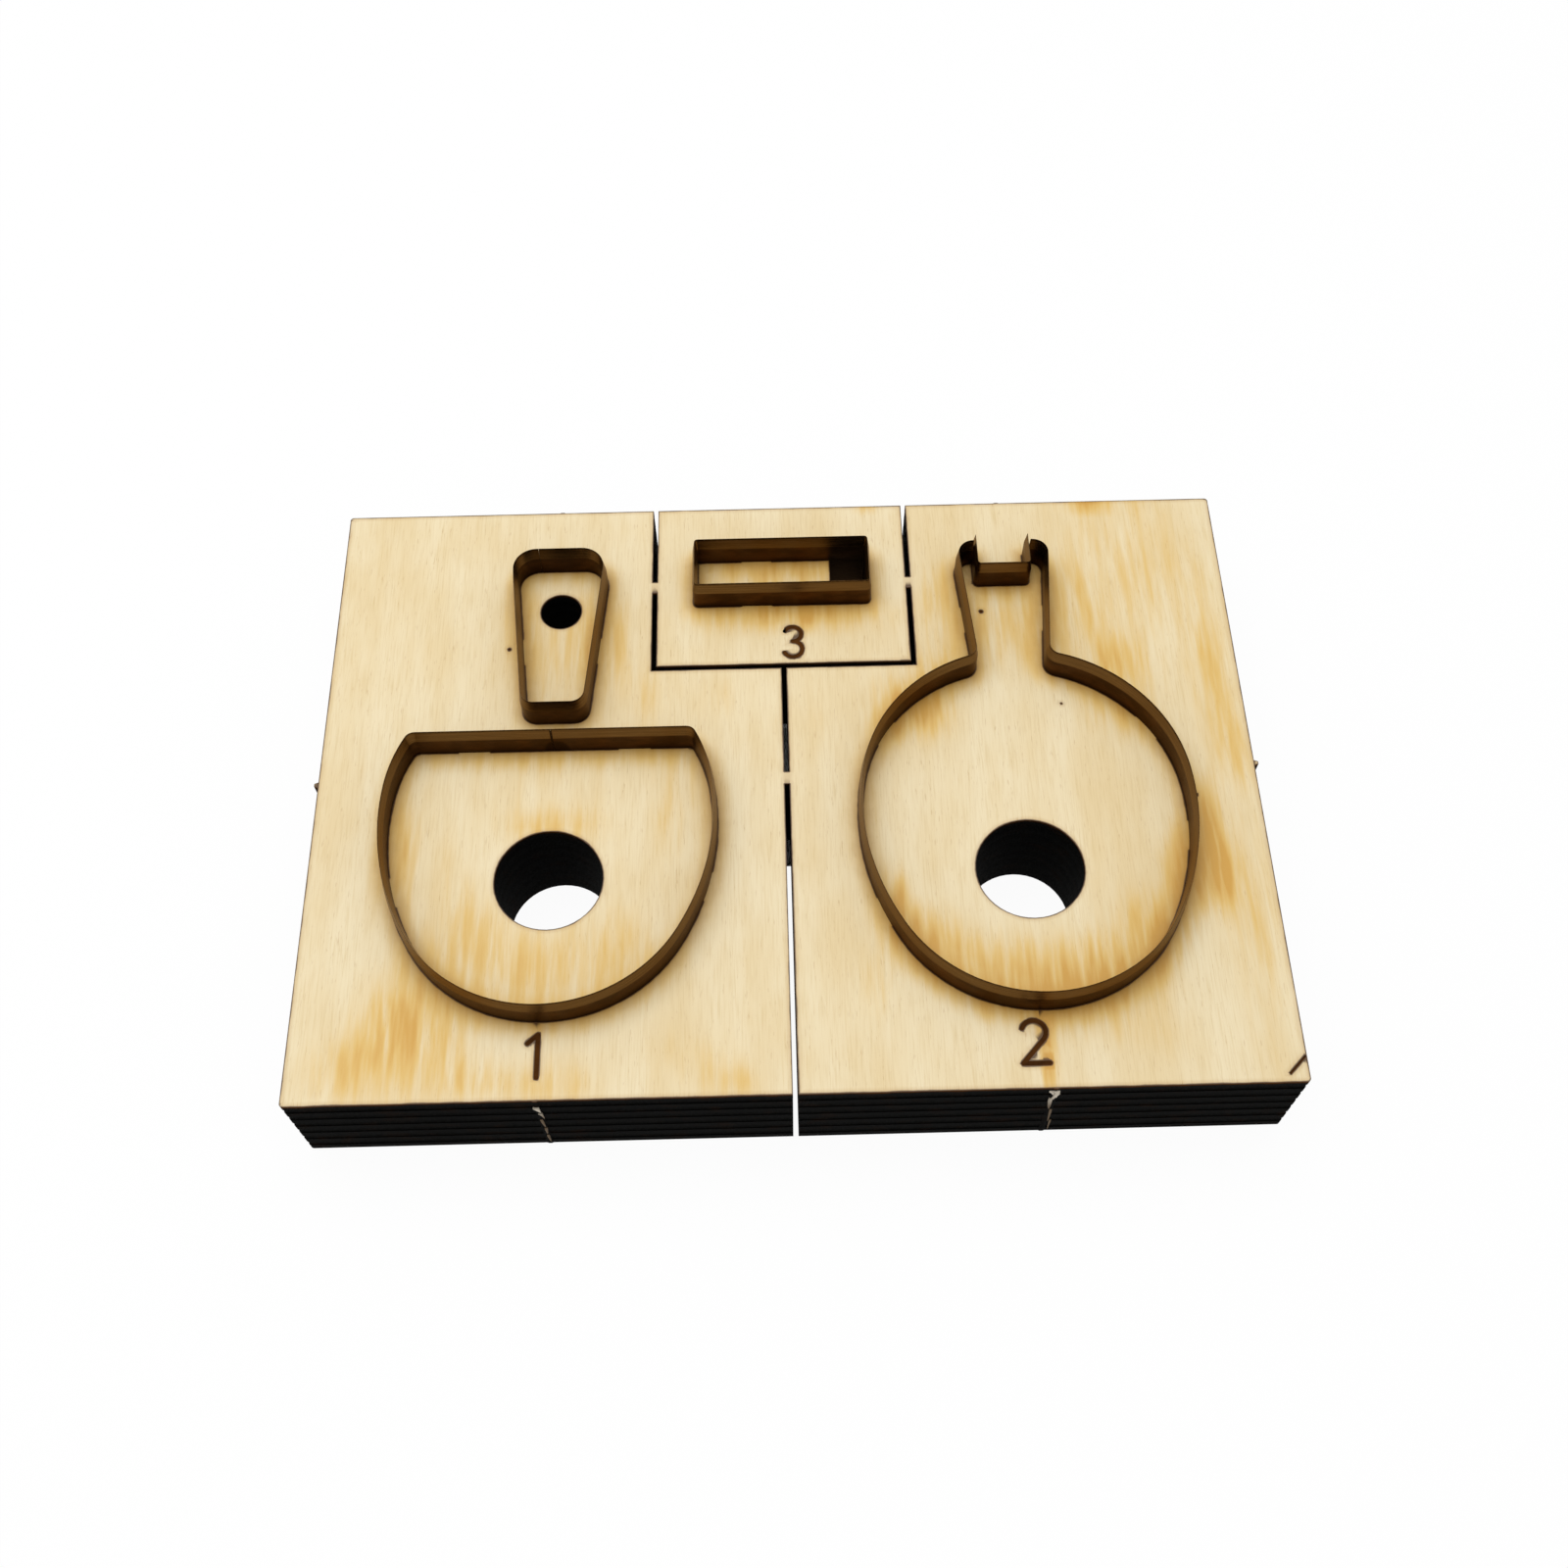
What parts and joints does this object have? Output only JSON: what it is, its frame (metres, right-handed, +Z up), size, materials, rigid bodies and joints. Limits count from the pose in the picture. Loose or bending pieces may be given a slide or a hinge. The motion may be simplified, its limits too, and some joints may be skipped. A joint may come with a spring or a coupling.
{
  "type": "steel rule die",
  "caption": "Plywood die board with bent steel cutting rules standing out of its laser-cut slots, for stamping small leather pieces in a press.",
  "frame": {"origin": "middle of the board's back face, which lies on the press bed", "axes": "+Z up towards the cutting edges, +X along the board's long side, +Y from the front edge to the back edge"},
  "size_m": [0.1412, 0.1002, 0.0238],
  "materials": {
    "plywood": "raw birch plywood with charred laser-cut edges",
    "rule_steel": "satin blue-grey strip steel with a ground double bevel"
  },
  "bodies": {
    "root": {"die_board": "plywood", "dome_rule": "rule_steel", "strap_rule": "rule_steel", "bar_rule": "rule_steel", "paddle_rule": "rule_steel", "notch_rule": "rule_steel"}
  },
  "joints": []
}
